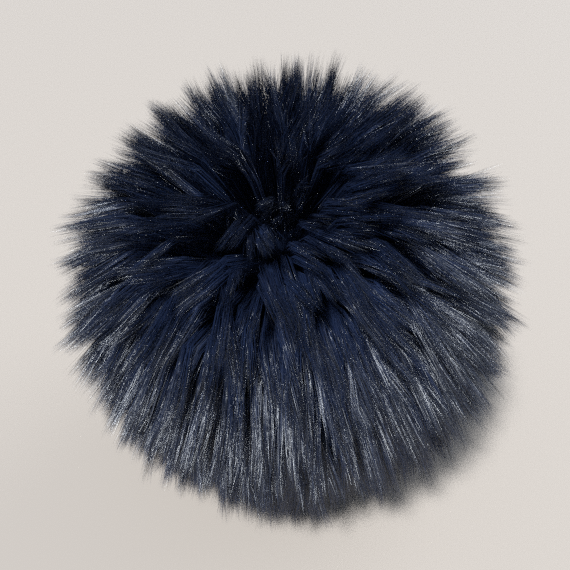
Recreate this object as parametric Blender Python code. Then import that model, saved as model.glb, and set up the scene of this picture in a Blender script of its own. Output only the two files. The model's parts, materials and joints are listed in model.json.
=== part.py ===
"""A round fur pom pom, resting on a table with its crown leaning to the front (-Y).

The ball is one solid. Just under 300 tapered locks of pile stand on the gathered cloth and are
fused to it at their roots. They fall away from one crown, and their tips make the ball's outline.
Those underneath are shorter, and end level on the table. Metres, +Z up, with the origin on the
table, under the middle of the ball's outline.
"""

import math
import random

import bmesh
import bpy
from mathutils import Quaternion, Vector

# Driving sizes of the ball.
TIP_RADIUS = 0.070  # from the ball's middle to its longest tips
CLOTH_RADIUS = 0.030  # the gathered cloth and the dense pile at its face, where the locks part
SIT_HEIGHT = 0.064  # the ball's middle over the table, less than TIP_RADIUS, as the pile gives
SPIRAL_POINTS = 276  # corners that the locks' cells share, which gives 298 locks

# How the pile lies.
CROWN = Vector((-0.08, -0.68, 0.73)).normalized()  # where it parts
COMB_TURN = math.radians(21)  # how far a tip is turned away from the crown, a quarter turn from it
SHORTEST = 0.88  # the shortest tip's reach, as a share of TIP_RADIUS
STRAY = math.radians(2)  # how far a tip strays from its own lock's line
UNEVEN_SEED = 11

# A lock's sections from its root: the share of the way to its tip, and of its own cell's width.
LOCK_SECTIONS = (
    {"out": 0.00, "fill": 0.86},
    {"out": 0.42, "fill": 0.90},
    {"out": 0.74, "fill": 0.72},
)
SOLE_FILL = 0.48  # the same share of its cell at a lock's flat end on the table

GOLDEN_ANGLE = math.pi * (3 - math.sqrt(5))
CELL_FOLD = math.radians(40)  # two triangles of the cloth less folded than this make one cell
CELL_SKEW = math.radians(40)  # and their four corners are at most this far out of square
NAVY = (0.012, 0.022, 0.060, 1.0)


def clear_scene():
    for obj in list(bpy.data.objects):
        bpy.data.objects.remove(obj, do_unlink=True)


def fur_material():
    material = bpy.data.materials.new("navy_fur")
    material.use_nodes = True
    shader = material.node_tree.nodes["Principled BSDF"]
    shader.inputs["Base Color"].default_value = NAVY
    shader.inputs["Roughness"].default_value = 0.55
    shader.inputs["Metallic"].default_value = 0.0
    return material


def spiral_directions(count):
    """Unit vectors spread evenly over a ball, on a golden spiral that starts at the crown."""
    to_crown = Vector((0, 0, 1)).rotation_difference(CROWN)
    for step in range(count):
        height = 1 - 2 * (step + 0.5) / count
        ring = math.sqrt(1 - height * height)
        turn = step * GOLDEN_ANGLE
        yield to_crown @ Vector((ring * math.cos(turn), ring * math.sin(turn), height))


def combed(direction, rise):
    """Where pile that roots in this direction points, this share of the way to TIP_RADIUS."""
    axis = CROWN.cross(direction)  # its length is nothing at the crown, and 1 a quarter turn off
    if axis.length < 1e-6:
        return direction.copy()
    return Quaternion(axis, COMB_TURN * axis.length * rise * rise) @ direction


class Lock:
    """One lock of pile, worked out around the ball's middle from its cell on the cloth."""

    def __init__(self, cell, uneven):
        self.corners = [vertex.co.normalized() for vertex in cell.verts]
        self.middle = sum(self.corners, Vector()).normalized()
        sideways = self.middle.orthogonal()
        sideways.rotate(Quaternion(self.middle, uneven.uniform(0, math.tau)))
        self.stray = Quaternion(sideways, uneven.uniform(0, STRAY))
        self.reach = TIP_RADIUS * uneven.uniform(SHORTEST, 1)
        down = -self.along(self.middle, TIP_RADIUS).z
        self.on_table = TIP_RADIUS * down > SIT_HEIGHT
        if self.on_table:
            self.reach = SIT_HEIGHT / down

    def along(self, direction, radius):
        """A direction in the cell, as the lock's comb and stray have turned it at this radius."""
        rise = (radius - CLOTH_RADIUS) / (TIP_RADIUS - CLOTH_RADIUS)
        return Quaternion().slerp(self.stray, rise * rise) @ combed(direction, rise)

    def section(self, out, fill):
        """The corner points of the lock's section, this share of the way out to its tip."""
        radius = CLOTH_RADIUS + (self.reach - CLOTH_RADIUS) * out
        middle = self.along(self.middle, radius)
        edges = [middle.lerp(self.along(corner, radius), fill) for corner in self.corners]
        return [edge.normalized() * radius for edge in edges]

    def sole(self):
        """The corner points of the lock's flat end on the table."""
        return [point * (SIT_HEIGHT / -point.z) for point in self.section(1, SOLE_FILL)]

    def tip(self):
        return self.along(self.middle, self.reach) * self.reach


def place(face, points):
    for vertex, point in zip(face.verts, points, strict=True):
        vertex.co = point


def raise_lock(mesh, face, lock):
    """Draws the cell's face out through the lock's sections, to a point or to a flat sole."""
    place(face, lock.section(**LOCK_SECTIONS[0]))
    for section in LOCK_SECTIONS[1:]:
        face = bmesh.ops.extrude_discrete_faces(mesh, faces=[face])["faces"][0]
        place(face, lock.section(**section))
    face = bmesh.ops.extrude_discrete_faces(mesh, faces=[face])["faces"][0]
    if lock.on_table:
        place(face, lock.sole())
    else:
        bmesh.ops.pointmerge(mesh, verts=face.verts, merge_co=lock.tip())


def set_on_table(mesh):
    """Lifts the ball onto the table, and brings the middle of its outline over the origin."""
    spans = [[vertex.co[axis] for vertex in mesh.verts] for axis in (0, 1)]
    off = [(min(span) + max(span)) / 2 for span in spans]
    bmesh.ops.translate(mesh, verts=mesh.verts, vec=(-off[0], -off[1], SIT_HEIGHT))


def pom_pom():
    mesh = bmesh.new()
    for direction in spiral_directions(SPIRAL_POINTS):
        mesh.verts.new(direction * CLOTH_RADIUS)
    bmesh.ops.convex_hull(mesh, input=mesh.verts)
    bmesh.ops.join_triangles(
        mesh, faces=mesh.faces, angle_face_threshold=CELL_FOLD, angle_shape_threshold=CELL_SKEW
    )
    uneven = random.Random(UNEVEN_SEED)
    cells = list(mesh.faces)
    locks = [Lock(cell, uneven) for cell in cells]
    bmesh.ops.inset_individual(mesh, faces=cells, thickness=CLOTH_RADIUS / 50)
    for cell, lock in zip(cells, locks, strict=True):
        raise_lock(mesh, cell, lock)
    bmesh.ops.recalc_face_normals(mesh, faces=mesh.faces)
    set_on_table(mesh)
    data = bpy.data.meshes.new("pom_pom")
    mesh.to_mesh(data)
    mesh.free()
    data.materials.append(fur_material())
    return bpy.data.objects.new("pom_pom", data)


def main():
    clear_scene()
    collection = bpy.data.collections.new("Pom pom")
    bpy.context.scene.collection.children.link(collection)
    collection.objects.link(pom_pom())


main()
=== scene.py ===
"""A navy faux fur pom pom: the fine pile over its solid, on a pale floor in soft studio light."""

import json
import math
import random

import bmesh
import bpy
import numpy as np
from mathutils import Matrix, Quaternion, Vector
from mathutils.kdtree import KDTree

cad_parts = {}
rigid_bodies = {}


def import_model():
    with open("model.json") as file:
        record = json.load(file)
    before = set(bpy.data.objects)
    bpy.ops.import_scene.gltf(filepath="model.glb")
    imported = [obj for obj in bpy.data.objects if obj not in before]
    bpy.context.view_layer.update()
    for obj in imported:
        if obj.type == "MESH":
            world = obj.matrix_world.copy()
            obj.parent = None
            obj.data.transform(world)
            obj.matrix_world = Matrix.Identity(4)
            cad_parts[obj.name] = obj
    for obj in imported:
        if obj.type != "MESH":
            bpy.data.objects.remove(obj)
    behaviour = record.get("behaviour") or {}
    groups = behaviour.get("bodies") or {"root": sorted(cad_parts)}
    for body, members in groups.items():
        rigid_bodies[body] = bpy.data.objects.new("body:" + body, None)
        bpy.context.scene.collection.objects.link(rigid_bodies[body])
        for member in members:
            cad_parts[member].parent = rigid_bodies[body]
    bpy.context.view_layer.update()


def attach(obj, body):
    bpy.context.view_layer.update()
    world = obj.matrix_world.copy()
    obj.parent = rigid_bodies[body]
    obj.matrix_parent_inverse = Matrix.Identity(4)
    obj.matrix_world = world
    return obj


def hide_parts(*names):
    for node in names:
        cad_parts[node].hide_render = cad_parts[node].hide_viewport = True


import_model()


def aimed(x, y, z):
    """The unit vector this way."""
    return np.array(Vector((x, y, z)).normalized())


# The ball and its locks, in the same sizes as the solid's, and drawn with the same seed.
MIDDLE = np.array((0.0006, -0.0003, 0.064))  # the ball's middle
TIP_RADIUS = 0.070
CLOTH_RADIUS = 0.030
CROWN = Vector((-0.08, -0.68, 0.73)).normalized()  # where the spiral of locks starts
SPIRAL_POINTS = 276
SHORTEST = 0.88
STRAY = math.radians(2)
UNEVEN_SEED = 11
CELL_FOLD = math.radians(40)
CELL_SKEW = math.radians(40)
GOLDEN_ANGLE = math.pi * (3 - math.sqrt(5))

# How the pile lies. It parts at the whorl, and droops to the front and down. Each turn grows with
# the share of the way out to the tips, to the power of BEND.
WHORL = aimed(-0.38, -0.58, 0.73)
PART_TURN = math.radians(6)  # how far the pile round the whorl is turned away from it
PART_WIDTH = math.radians(14)  # nearer the whorl than this it hardly turns
PART_REACH = math.radians(42)  # nor does it farther from the whorl than this
DROOP = math.radians(18.5)
DROOP_TOWARD = np.array((0.08, -0.33, -1.0))
BORNE = 0.7  # how much of the droop is lost straight under the ball, where the table bears the pile
BEND = 1.5
TINY = 1e-9  # stands in for a length of 0, right at the whorl

# Small hollows where the tufts part, seen from the ball's middle, in degrees: the turn to the right
# of the front, the height, how wide it is and how far it turns the tips away.
HOLLOWS = (
    {"right": -23, "high": 38, "width": 4.5, "open": 3.4},
    {"right": -10, "high": 31, "width": 4.2, "open": 3.2},
    {"right": 19, "high": 48, "width": 4.2, "open": 3.2},
    {"right": 7, "high": 62, "width": 3.6, "open": 2.6},
    {"right": -17, "high": 48, "width": 2.8, "open": 1.4},
    {"right": 7, "high": 33, "width": 3.2, "open": 2.2},
    {"right": -5, "high": 41, "width": 2.6, "open": 1.6},
    {"right": -100, "high": 55, "width": 5.0, "open": 3.0},
)
HOLLOW_EYE = 0.005  # keeps the turn even across the very middle of a hollow

# The pile in the locks, each gathered to the one before: tufts, wisps of a few hairs, and hairs.
# For each: how many there are, how far their tips stray and how much more they do at the whorl,
# what share of their spread is gathered in, and the shares of their reach that some lose at random
# and that they lose at the edge of what they belong to.
TUFTS = {
    "count": 1500, "stray": 0.045, "muss": 0.06, "gather": (0.38, 0.74), "shorter": 0.08, "pointed": 0.035
}
WISPS = {
    "count": 8000, "stray": 0.018, "muss": 0.0, "gather": (0.56, 0.90), "shorter": 0.04, "pointed": 0.07
}
HAIRS = {
    "count": 158000, "stray": 0.009, "muss": 0.0, "gather": (0.60, 1.0), "shorter": 0.05, "pointed": 0.03
}
GATHER_BEND = 1.6  # the gathering grows with the share of the way out, to this power
UNEVEN = 0.35  # how far roots are moved off the spiral, as a share of the gap between them
SELDOM = 3  # the power of a random share, so that few lose much of their reach at random
MUSSED = 0.36  # how far from the whorl tufts are mussed, as an angle
WHORL_GATHER = 0.6  # the least share of its spread that a tuft at the whorl is gathered by
WHORL_SHORT = (0.036, 0.12)  # the least and most of its reach that a tuft loses at the whorl
BUNCH_EDGE = 90  # of a hundred that belong to one bunch, how many stand within its edge
PAST_EDGE = 1.3  # and how far out the others count as, in widths to the edge
LONGER = 1.125  # the locks' longest reach, as a share of TIP_RADIUS, as hairs thin out to their tips
EVENER = 0.3  # the power of a lock's reach that its hairs keep, which evens out the ball
PILE_SEED = 5

# One hair, which is widest and bends part of the way out.
PIECES = 6
HAIR_WIDTH = 0.000085  # from a hair's middle line to its corners
WIDEST = 0.65
LIFT = 0.0002  # of the lowest hairs over the table
PRESSED = 0.0006  # how unevenly hairs that are pressed to the table lie on it

# The shading of the hairs, as shares of a corner's own way out from the hair's middle line.
OUTER = 0.8  # how far it leans to the hair's outer side
TIP_OUTER = 1.0
TIPPED = 0.10  # how far it leans along the hair, at random for each wisp and again for each hair
SHEEN = 0.30  # how much farther on the side of the ball that SHEEN_TOWARD points to
SHEEN_TOWARD = aimed(0.62, -0.76, -0.52)
DULLEST = -0.2  # the least share of SHEEN, which the ball's other side has

# Each hair has a spot of the bake layer for itself: v is the way out, and u is how light it is.
LIGHTNESS = (0.02, 0.98)
SPOT = 0.0012  # half of the width of a hair's spot

# A hair's corners are its root, the three at its widest, and its tip.
HAIR_FACES = np.array(((0, 2, 1), (0, 3, 2), (0, 1, 3), (1, 2, 4), (2, 3, 4), (3, 1, 4)))
HAIR_SPOT_U = np.array((0, -SPOT, 0, SPOT, 0))
HAIR_SPOT_V = np.array((0, WIDEST, WIDEST, WIDEST, 1))
CORNERS = len(HAIR_SPOT_V)

# The materials, with colours as shares of red, green and blue in linear light.
FUR_DARK, FUR_LIGHT = (0.0032, 0.0058, 0.018), (0.0096, 0.0190, 0.0545)
FUR_ROUGHNESS = (0.28, 0.40)
FUR_GLOSS = 1.2
GLOSS_SPOTS = (900, 40, 1)  # how often the gloss changes from hair to hair, and along one
GLOSS_NOISE = (0.3, 0.7)  # the part of the noise that makes FUR_ROUGHNESS
CLOTH_DARK, CLOTH_LIGHT = (0.001, 0.002, 0.006), (0.006, 0.011, 0.030)
CLOTH_SPOTS = 900  # of the weave, in a metre
CLOTH_ROUGHNESS, CLOTH_GLOSS = 0.95, 0.1
FLOOR_COLOUR, FLOOR_ROUGHNESS = (0.344, 0.297, 0.256), 0.8

# The studio: a soft key light where the photo's shadow puts it, and a weak, wide one from behind.
KEY = {
    "toward": (-0.276, -0.519, 0.809), "power": 7.2, "width": math.radians(9), "colour": (0.90, 0.955, 1)
}
FILL = {
    "toward": (0.744, 0.447, 0.496), "power": 1.6, "width": math.radians(60), "colour": (0.85, 0.93, 1)
}
SKY_COLOUR, SKY_POWER = (0.58, 0.74, 1), 0.32
FLOOR_SIZE = 4.0
BRIGHTEST = 5.0  # that one sample of a pixel may be, so that no glint is a white dot

# The camera, as the photo's vanishing points give it.
PHOTO_PX = 570
FOCAL_PX = 614
SENSOR = 36  # in millimetres, as Blender has it
CAMERA_AWAY = 0.2027  # from the ball's middle
CAMERA_RISE = math.radians(32.5)
AIM_OFF = Vector((-0.0013, 0, 0.0012))  # from the ball's middle to what the photo is centred on

rng = np.random.default_rng(PILE_SEED)


def unit(vectors):
    return vectors / np.linalg.norm(vectors, axis=-1, keepdims=True)


def across(vectors, lines):
    """What is left of each vector at right angles to its line, which is a unit vector."""
    return vectors - (vectors * lines).sum(axis=1)[:, None] * lines


def spiral(count, uneven=0.0):
    """Directions spread evenly over a ball from the crown, each moved by this share of a gap."""
    step = np.arange(count)
    height = 1 - 2 * (step + 0.5) / count
    ring = np.sqrt(1 - height * height)
    turn = step * GOLDEN_ANGLE
    flat = np.stack((ring * np.cos(turn), ring * np.sin(turn), height), axis=1)
    flat += rng.normal(size=flat.shape) * uneven * math.sqrt(4 * math.pi / count)
    to_crown = Vector((0, 0, 1)).rotation_difference(CROWN).to_matrix()
    return unit(flat @ np.array(to_crown).T)


def parted(directions, rise):
    """Where the pile of these roots points, this share of the way out: off the whorl, and down."""
    along = directions @ WHORL
    away = directions - along[:, None] * WHORL
    size = np.linalg.norm(away, axis=1)
    away /= np.maximum(size, TINY)[:, None]
    angle = np.arctan2(size, along)
    opened = 1 - np.exp(-((angle / PART_WIDTH) ** 2))
    angle += PART_TURN * opened * np.exp(-((angle / PART_REACH) ** 2)) * rise**BEND
    laid = np.cos(angle)[:, None] * WHORL + np.sin(angle)[:, None] * away
    down = DROOP_TOWARD - (laid @ DROOP_TOWARD)[:, None] * laid
    borne = 1 - BORNE * np.maximum(-laid[:, 2:], 0) ** 2
    return unit(laid + DROOP * borne * rise**BEND * down)


def lain(directions, rise):
    """Where the pile of these roots points, as it is parted and with the hollows in it."""
    laid, tips = parted(directions, rise), parted(directions, 1)
    for hollow in HOLLOWS:
        right, high = math.radians(hollow["right"]), math.radians(hollow["high"])
        middle = (math.sin(right) * math.cos(high), -math.cos(right) * math.cos(high), math.sin(high))
        away = tips - np.array(middle)
        size = np.linalg.norm(away, axis=1)
        turn = math.radians(hollow["open"]) * np.exp(-((size / math.radians(hollow["width"])) ** 2))
        laid += (turn * rise**2 / (size + HOLLOW_EYE))[:, None] * away
    return unit(laid)


def nearest(points, others):
    """For each of the points, the number of the nearest of the others."""
    tree = KDTree(len(others))
    for number, other in enumerate(others):
        tree.insert(other, number)
    tree.balance()
    return np.array([tree.find(point)[1] for point in points])


class Locks:
    """The locks of the solid: the middle, stray and reach of each."""

    def __init__(self):
        mesh = bmesh.new()
        for direction in spiral(SPIRAL_POINTS):
            mesh.verts.new(direction * CLOTH_RADIUS)
        bmesh.ops.convex_hull(mesh, input=mesh.verts)
        bmesh.ops.join_triangles(
            mesh, faces=mesh.faces, angle_face_threshold=CELL_FOLD, angle_shape_threshold=CELL_SKEW
        )
        uneven = random.Random(UNEVEN_SEED)
        middles, strays, reaches = [], [], []
        for cell in mesh.faces:
            middle = sum((vertex.co.normalized() for vertex in cell.verts), Vector()).normalized()
            sideways = middle.orthogonal()
            sideways.rotate(Quaternion(middle, uneven.uniform(0, math.tau)))
            middles.append(middle)
            strays.append(sideways.normalized().cross(middle) * uneven.uniform(0, STRAY))
            reaches.append(uneven.uniform(SHORTEST, 1))
        mesh.free()
        self.middles, self.strays = np.array(middles), np.array(strays)
        self.reach = LONGER * np.array(reaches) ** EVENER

    def along(self, rise):
        """Each lock's direction, this share of the way out to its tip."""
        return lain(self.middles, rise) + self.strays * rise**2


class Bunches:
    """Pile gathered to one size: where each bunch roots, strays, ends, and what it belongs to."""

    def __init__(self, parent, count, stray, muss, gather, shorter, pointed):
        self.parent = parent
        self.middles = spiral(count, UNEVEN)
        self.owner = nearest(self.middles, parent.middles)
        from_whorl = np.arccos(np.clip(self.middles @ WHORL, -1, 1))
        at_whorl = np.exp(-((from_whorl / MUSSED) ** 2))
        steps = rng.normal(size=(count, 3)) * (stray + muss * at_whorl)[:, None]
        self.strays = across(steps, self.middles)
        self.gather = rng.uniform(*gather, size=count)
        self.reach = parent.reach[self.owner] * (1 - shorter * rng.uniform(size=count) ** SELDOM)
        off = np.linalg.norm(self.middles - parent.middles[self.owner], axis=1)
        self.reach *= 1 - pointed * np.minimum(off / np.percentile(off, BUNCH_EDGE), PAST_EDGE) ** 2
        if muss:
            self.reach *= 1 - at_whorl * rng.uniform(*WHORL_SHORT, size=count)
            self.gather = np.maximum(self.gather, WHORL_GATHER * at_whorl)

    def along(self, rise):
        """Each bunch's direction, this share of the way out to its tip."""
        apart = lain(self.middles, rise) - lain(self.parent.middles, rise)[self.owner]
        apart *= (1 - self.gather * rise**GATHER_BEND)[:, None]
        return self.parent.along(rise)[self.owner] + apart + self.strays * rise**2


def set_on_table(lines):
    """Lays what would be under the table on it, and farther from the ball's foot."""
    depth = np.maximum(LIFT - lines[..., 2], 0)
    lines[..., :2] += unit(lines[..., :2] - MIDDLE[:2]) * depth[..., None]
    lines[..., 2] += depth + (depth > 0) * rng.uniform(0, PRESSED, size=depth.shape)


class Pile:
    """All the hairs: the root, widest point and tip of each, its lock, and how it is shaded."""

    def __init__(self):
        tufts = Bunches(Locks(), **TUFTS)
        wisps = Bunches(tufts, **WISPS)
        hairs = Bunches(wisps, **HAIRS)
        lines = []
        for rise in (0.0, WIDEST, 1.0):
            radius = CLOTH_RADIUS + (TIP_RADIUS * hairs.reach - CLOTH_RADIUS) * rise
            lines.append(unit(hairs.along(rise)) * radius[:, None])
        self.lines = np.stack(lines, axis=1) + MIDDLE
        set_on_table(self.lines)
        sheen = SHEEN * np.maximum(wisps.middles @ SHEEN_TOWARD, DULLEST)
        tipped = rng.normal(size=len(wisps.owner)) * TIPPED + sheen
        lightness = rng.uniform(*LIGHTNESS, size=len(wisps.owner))
        self.tipped = tipped[hairs.owner] + rng.normal(size=len(hairs.owner)) * TIPPED
        self.lightness = lightness[hairs.owner]
        self.lock = tufts.owner[wisps.owner[hairs.owner]]


def hair_corners(lines, tipped):
    """The corners of each hair, and the shading normal at each of them."""
    along = unit(lines[:, 2] - lines[:, 0])
    first = unit(np.cross(along, rng.normal(size=along.shape)))
    second = np.cross(along, first)
    turns = (0, math.tau / 3, -math.tau / 3)
    sides = [first * math.cos(turn) + second * math.sin(turn) for turn in turns]
    points = [lines[:, 0]] + [lines[:, 1] + side * HAIR_WIDTH for side in sides] + [lines[:, 2]]
    tip_along = unit(lines[:, 2] - lines[:, 1])
    outward = unit(lines - MIDDLE)
    lean = OUTER * across(outward[:, 1], along) + tipped[:, None] * along
    tip_lean = TIP_OUTER * across(outward[:, 2], tip_along) + tipped[:, None] * tip_along
    normals = [first] + [unit(side + lean) for side in sides] + [unit(first + tip_lean)]
    return np.stack(points, axis=1), np.stack(normals, axis=1)


def pile_mesh(name, lines, tipped, lightness):
    """Each line as a hair of three sides, pointed at both ends, all in one mesh."""
    count = len(lines)
    points, normals = hair_corners(lines, tipped)
    corners = (HAIR_FACES.ravel()[None, :] + np.arange(count)[:, None] * CORNERS).ravel()
    mesh = bpy.data.meshes.new(name)
    mesh.vertices.add(count * CORNERS)
    mesh.vertices.foreach_set("co", points.ravel())
    mesh.loops.add(len(corners))
    mesh.loops.foreach_set("vertex_index", corners)
    mesh.polygons.add(len(corners) // 3)
    mesh.polygons.foreach_set("loop_start", np.arange(0, len(corners), 3))
    mesh.polygons.foreach_set("loop_total", np.full(len(corners) // 3, 3))
    mesh.update(calc_edges=True)
    shading = mesh.attributes.new("custom_normal", "FLOAT_VECTOR", "POINT")
    shading.data.foreach_set("vector", normals.ravel())
    own = (lightness + rng.uniform(*LIGHTNESS, size=count)) / 2
    u = own[:, None] + HAIR_SPOT_U[HAIR_FACES.ravel()]
    v = np.broadcast_to(HAIR_SPOT_V[HAIR_FACES.ravel()], u.shape)
    mesh.uv_layers.new(name="OFBake").uv.foreach_set("vector", np.stack((u, v), axis=2).ravel())
    return mesh


def new_material(name):
    material = bpy.data.materials.new(name)
    material.use_nodes = True
    return material, material.node_tree.nodes, material.node_tree.links


def colour_between(nodes, links, share, dark, light):
    """Colours the shader between dark and light, by this share."""
    ramp = nodes.new("ShaderNodeValToRGB")
    ramp.color_ramp.elements[0].color = (*dark, 1)
    ramp.color_ramp.elements[1].color = (*light, 1)
    links.new(share, ramp.inputs["Fac"])
    links.new(ramp.outputs["Color"], nodes["Principled BSDF"].inputs["Base Color"])


def gloss_by(nodes, links, place):
    """Makes the shader rougher and smoother from spot to spot of this place on the bake layer."""
    scale = nodes.new("ShaderNodeVectorMath")
    scale.operation = "MULTIPLY"
    scale.inputs[1].default_value = GLOSS_SPOTS
    links.new(place, scale.inputs[0])
    noise = nodes.new("ShaderNodeTexNoise")
    noise.noise_dimensions = "2D"
    noise.inputs["Scale"].default_value = 1
    noise.inputs["Detail"].default_value = 0
    links.new(scale.outputs["Vector"], noise.inputs["Vector"])
    rough = nodes.new("ShaderNodeMapRange")
    rough.inputs["From Min"].default_value, rough.inputs["From Max"].default_value = GLOSS_NOISE
    rough.inputs["To Min"].default_value, rough.inputs["To Max"].default_value = FUR_ROUGHNESS
    links.new(noise.outputs["Fac"], rough.inputs["Value"])
    links.new(rough.outputs["Result"], nodes["Principled BSDF"].inputs["Roughness"])


def fur_material():
    """Navy hairs, each of its own lightness, with gloss that varies along and between them."""
    material, nodes, links = new_material("navy_fur")
    uv = nodes.new("ShaderNodeUVMap")
    uv.uv_map = "OFBake"
    split = nodes.new("ShaderNodeSeparateXYZ")
    links.new(uv.outputs["UV"], split.inputs["Vector"])
    colour_between(nodes, links, split.outputs["X"], FUR_DARK, FUR_LIGHT)
    gloss_by(nodes, links, uv.outputs["UV"])
    nodes["Principled BSDF"].inputs["Specular IOR Level"].default_value = FUR_GLOSS
    return material


def add_piece(mesh):
    piece = bpy.data.objects.new(mesh.name, mesh)
    bpy.context.scene.collection.objects.link(piece)
    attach(piece, "root")
    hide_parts("pom_pom")
    return piece


def add_pile():
    """The hairs as a few pieces, each with every lock whose number leaves the same remainder."""
    pile = Pile()
    material = fur_material()
    for number in range(PIECES):
        here = pile.lock % PIECES == number
        name = f"pile_{number + 1}"
        mesh = pile_mesh(name, pile.lines[here], pile.tipped[here], pile.lightness[here])
        mesh.materials.append(material)
        add_piece(mesh)


def backing_material():
    """Dark, dull cloth with a fine weave of lighter spots."""
    material, nodes, links = new_material("backing_cloth")
    place = nodes.new("ShaderNodeTexCoord")
    noise = nodes.new("ShaderNodeTexNoise")
    noise.inputs["Scale"].default_value = CLOTH_SPOTS
    noise.inputs["Detail"].default_value = 3
    links.new(place.outputs["Object"], noise.inputs["Vector"])
    colour_between(nodes, links, noise.outputs["Fac"], CLOTH_DARK, CLOTH_LIGHT)
    nodes["Principled BSDF"].inputs["Roughness"].default_value = CLOTH_ROUGHNESS
    nodes["Principled BSDF"].inputs["Specular IOR Level"].default_value = CLOTH_GLOSS
    return material


def add_backing():
    """The cloth that the pile roots in: a ball, with the folds it is gathered in at its foot."""
    over_roots, fold, folds = 1.02, 0.05, 12  # the first two as shares of CLOTH_RADIUS
    mesh = bmesh.new()
    bmesh.ops.create_uvsphere(mesh, u_segments=96, v_segments=48, radius=CLOTH_RADIUS)
    for vertex in mesh.verts:
        turn = math.atan2(vertex.co.y, vertex.co.x)
        low = max(0.0, -vertex.co.z / CLOTH_RADIUS)
        out = math.hypot(vertex.co.x, vertex.co.y) / CLOTH_RADIUS
        vertex.co *= over_roots + fold * low**2 * out * math.cos(folds * turn)
    data = bpy.data.meshes.new("backing")
    mesh.to_mesh(data)
    mesh.free()
    data.shade_smooth()
    data.materials.append(backing_material())
    add_piece(data).location = MIDDLE


def add_floor():
    bpy.ops.mesh.primitive_plane_add(size=FLOOR_SIZE)
    floor = bpy.context.object
    floor.name = "floor"
    material = new_material("floor")[0]
    shader = material.node_tree.nodes["Principled BSDF"]
    shader.inputs["Base Color"].default_value = (*FLOOR_COLOUR, 1)
    shader.inputs["Roughness"].default_value = FLOOR_ROUGHNESS
    floor.data.materials.append(material)


def add_light(name, toward, power, width, colour):
    """A far light, whose disc is this wide an angle."""
    data = bpy.data.lights.new(name, "SUN")
    data.energy = power
    data.angle = width
    data.color = colour
    light = bpy.data.objects.new(name, data)
    light.rotation_euler = Vector(toward).to_track_quat("Z", "Y").to_euler()
    bpy.context.scene.collection.objects.link(light)


def add_sky():
    """A pale, even sky."""
    sky = bpy.data.worlds.new("studio")
    sky.use_nodes = True
    background = sky.node_tree.nodes["Background"]
    background.inputs["Color"].default_value = (*SKY_COLOUR, 1)
    background.inputs["Strength"].default_value = SKY_POWER
    bpy.context.scene.world = sky


def add_camera():
    data = bpy.data.cameras.new("camera")
    data.sensor_width = SENSOR
    data.lens = SENSOR * FOCAL_PX / PHOTO_PX
    camera = bpy.data.objects.new("camera", data)
    toward = Vector((0, -math.cos(CAMERA_RISE), math.sin(CAMERA_RISE)))
    camera.location = Vector(MIDDLE) + CAMERA_AWAY * toward
    aim = Vector(MIDDLE) + AIM_OFF - camera.location
    camera.rotation_euler = aim.to_track_quat("-Z", "Y").to_euler()
    bpy.context.scene.collection.objects.link(camera)
    bpy.context.scene.camera = camera


add_camera()
add_backing()
add_pile()
add_floor()
add_light("key", **KEY)
add_light("fill", **FILL)
add_sky()
bpy.context.scene.view_settings.view_transform = "Standard"
bpy.context.scene.cycles.use_denoising = False  # which would smear single hairs
bpy.context.scene.cycles.sample_clamp_direct = BRIGHTEST
bpy.context.scene.cycles.sample_clamp_indirect = BRIGHTEST
